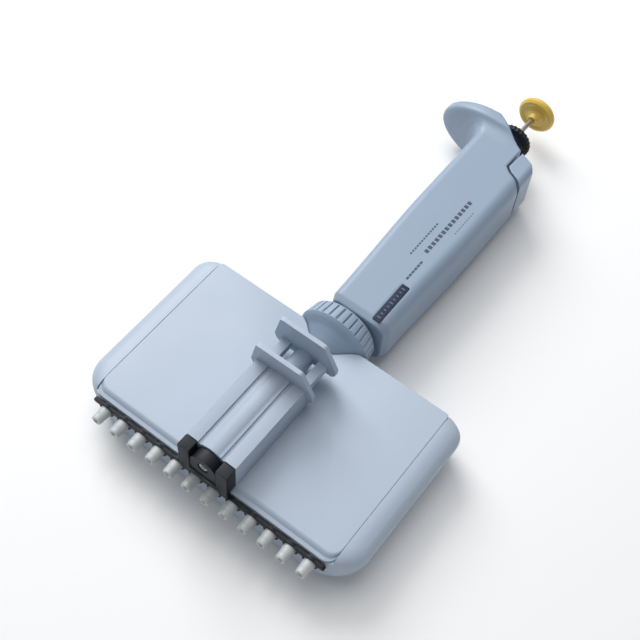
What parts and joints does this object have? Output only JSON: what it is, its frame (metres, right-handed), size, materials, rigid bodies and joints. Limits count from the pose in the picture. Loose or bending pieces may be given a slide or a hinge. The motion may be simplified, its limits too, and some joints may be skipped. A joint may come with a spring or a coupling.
{
  "type": "multichannel pipette",
  "caption": "Hand-held row pipette lying on its back: flat manifold with a row of nozzles, sliding tip ejector, ribbed swivel nut, hooked handle and push button.",
  "frame": {"origin": "centre of the part's box at its lowest plane, the flat back of the manifold lying on a bench", "axes": "+X along the nozzle row, +Y from the nozzles to the push button, +Z out of the front cover"},
  "size_m": [0.1322, 0.2482, 0.0497],
  "materials": {
    "housing": "satin moulded plastic, pale blue-grey",
    "handle": "satin moulded plastic, blue-grey",
    "nut": "satin moulded plastic, blue-grey, ribbed",
    "nozzle": "smooth chemical-resistant plastic, light grey",
    "black_plastic": "satin moulded plastic, black",
    "inner_plastic": "plain moulded plastic, off-white",
    "seal": "matt silicone rubber",
    "steel": "ground stainless steel",
    "button": "semi-gloss moulded plastic, mustard yellow",
    "label": "printed film, dark navy",
    "window": "clear polished plastic"
  },
  "bodies": {
    "manifold": {"back_shell": "housing", "front_cover": "housing", "cover_screw_1": "steel", "cover_screw_2": "steel", "cover_screw_3": "steel", "cover_screw_4": "steel", "nozzle_01": "nozzle", "nozzle_02": "nozzle", "nozzle_03": "nozzle", "nozzle_04": "nozzle", "nozzle_05": "nozzle", "nozzle_06": "nozzle", "nozzle_07": "nozzle", "nozzle_08": "nozzle", "nozzle_09": "nozzle", "nozzle_10": "nozzle", "nozzle_11": "nozzle", "nozzle_12": "nozzle", "seal_strip": "seal", "cylinder_block": "inner_plastic", "neck_tube": "inner_plastic", "retaining_clip": "steel", "guide_sleeve": "housing", "ejector_spring": "steel"},
    "ejector": {"ejector_grip": "housing", "ejector_rod": "housing", "ejector_foot": "black_plastic", "foot_screw": "steel", "ejector_plate": "black_plastic"},
    "pistons": {"piston_bar": "inner_plastic", "push_rod": "steel", "piston_01": "steel", "piston_02": "steel", "piston_03": "steel", "piston_04": "steel", "piston_05": "steel", "piston_06": "steel", "piston_07": "steel", "piston_08": "steel", "piston_09": "steel", "piston_10": "steel", "piston_11": "steel", "piston_12": "steel"},
    "coupling": {"coupling_nut": "nut"},
    "handle": {"handle_shell": "handle", "swivel_washer": "black_plastic", "range_label": "label", "counter_window": "window", "counter_shaft": "steel", "plunger_spring": "steel"},
    "units_drum": {"digit_drum_1": "black_plastic"},
    "tens_drum": {"digit_drum_2": "black_plastic"},
    "hundreds_drum": {"digit_drum_3": "black_plastic"},
    "lock": {"lock_lever": "handle"},
    "volume_setting": {"setting_collar": "black_plastic", "volume_spindle": "steel"},
    "plunger": {"plunger_rod": "steel", "push_button": "button"}
  },
  "joints": [
    {"name": "ejector_slide", "type": "slide", "parent": "manifold", "child": "ejector", "axis": [0, -1, 0], "range_m": [0, 0.007], "stiffness_N_per_m": 500, "springref_m": -0.01, "deforming": ["ejector_spring"]},
    {"name": "piston_slide", "type": "slide", "parent": "manifold", "child": "pistons", "axis": [0, -1, 0], "range_m": [0, 0.0095]},
    {"name": "nut_turn", "type": "hinge", "parent": "manifold", "child": "coupling", "pos_m": [0, -0.035, 0.0166], "axis": [0, 1, 0], "continuous": true},
    {"name": "handle_swivel", "type": "hinge", "parent": "manifold", "child": "handle", "pos_m": [0, -0.026, 0.0166], "axis": [0, 1, 0], "continuous": true},
    {"name": "volume_turn", "type": "hinge", "parent": "handle", "child": "volume_setting", "pos_m": [0, 0.1, 0.0166], "axis": [0, 1, 0], "continuous": true},
    {"name": "plunger_slide", "type": "slide", "parent": "volume_setting", "child": "plunger", "axis": [0, -1, 0], "range_m": [0, 0.0095], "stiffness_N_per_m": 400, "springref_m": -0.012, "deforming": ["plunger_spring"]},
    {"name": "units_drum_turn", "type": "hinge", "parent": "handle", "child": "units_drum", "pos_m": [0.011, 0.028, 0.0113], "axis": [0, 1, 0], "continuous": true},
    {"name": "tens_drum_turn", "type": "hinge", "parent": "handle", "child": "tens_drum", "pos_m": [0.011, 0.033, 0.0113], "axis": [0, 1, 0], "continuous": true},
    {"name": "hundreds_drum_turn", "type": "hinge", "parent": "handle", "child": "hundreds_drum", "pos_m": [0.011, 0.038, 0.0113], "axis": [0, 1, 0], "continuous": true},
    {"name": "lock_lever_turn", "type": "hinge", "parent": "handle", "child": "lock", "pos_m": [0.0183, 0.0691, 0.0166], "axis": [0, 0, 1], "range_deg": [0, 4]}
  ],
  "couplings": [
    {"joint": "piston_slide", "follows": "plunger_slide", "ratio": 1},
    {"joint": "units_drum_turn", "follows": "volume_turn", "ratio": -1},
    {"joint": "tens_drum_turn", "follows": "volume_turn", "ratio": -0.1},
    {"joint": "hundreds_drum_turn", "follows": "volume_turn", "ratio": -0.01}
  ]
}
